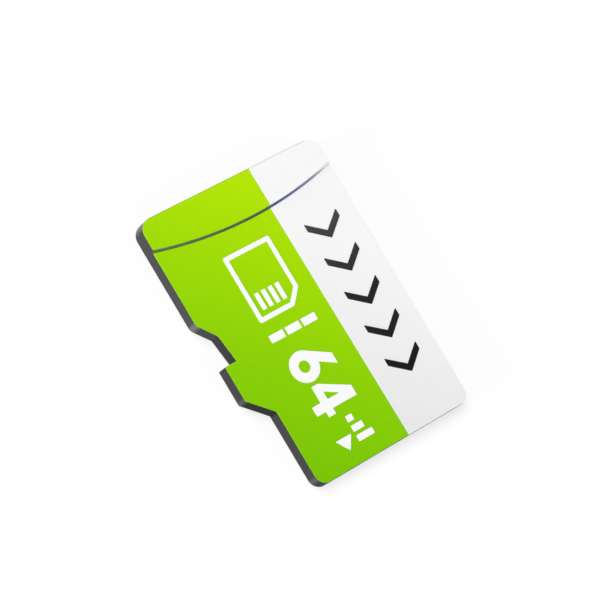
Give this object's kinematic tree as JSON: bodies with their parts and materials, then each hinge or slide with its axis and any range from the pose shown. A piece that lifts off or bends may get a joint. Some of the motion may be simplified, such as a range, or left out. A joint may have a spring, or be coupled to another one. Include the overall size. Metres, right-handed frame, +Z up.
{
  "type": "microsd card",
  "caption": "Small flat removable memory card with a notched side, a raised grip lip, gold contacts underneath and a green and white printed face.",
  "frame": {"origin": "middle of the card's 15 by 11 mm outline, on the underside that carries the contacts", "axes": "+Z up through the printed face; +Y towards the raised grip lip; -Y towards the contact end, which enters a socket first; -X towards the notched side"},
  "size_m": [0.011, 0.015, 0.001],
  "materials": {
    "epoxy_mould": "fine matte moulded epoxy resin",
    "laminate": "sawn edge of dark resin and glass laminate",
    "solder_mask": "black solder mask, satin gloss",
    "gold_plating": "gold plating, satin with fine lengthwise brushing",
    "copper": "bare copper",
    "silicon": "lapped silicon, semi-gloss",
    "die_film": "translucent adhesive film",
    "capacitor_ceramic": "fired tan ceramic",
    "resistor_ceramic": "fired ceramic with a black glaze",
    "tin_plating": "tin plating and solder, satin",
    "green_print": "printed lime green ink, satin",
    "white_print": "printed white ink, satin",
    "dark_print": "printed dark grey ink, satin"
  },
  "bodies": {
    "root": {"mould_cap": "epoxy_mould", "laminate_core": "laminate", "contact_side_mask": "solder_mask", "chip_side_mask": "solder_mask", "contact_1_data_2": "gold_plating", "contact_2_data_3": "gold_plating", "contact_3_command": "gold_plating", "contact_4_supply": "gold_plating", "contact_5_clock": "gold_plating", "contact_6_ground": "gold_plating", "contact_7_data_0": "gold_plating", "contact_8_data_1": "gold_plating", "contact_vias": "copper", "copper_traces": "copper", "bond_fingers": "gold_plating", "component_lands": "gold_plating", "memory_die_lower": "silicon", "memory_die_upper": "silicon", "lower_die_film": "die_film", "upper_die_film": "die_film", "controller_die": "silicon", "controller_die_film": "die_film", "capacitor_bodies": "capacitor_ceramic", "capacitor_terminals": "tin_plating", "resistor_bodies": "resistor_ceramic", "resistor_terminals": "tin_plating", "solder_joints": "tin_plating", "memory_bond_wires": "gold_plating", "controller_bond_wires": "gold_plating", "green_ink": "green_print", "white_ink": "white_print", "white_marks": "white_print", "dark_marks": "dark_print"}
  },
  "joints": []
}
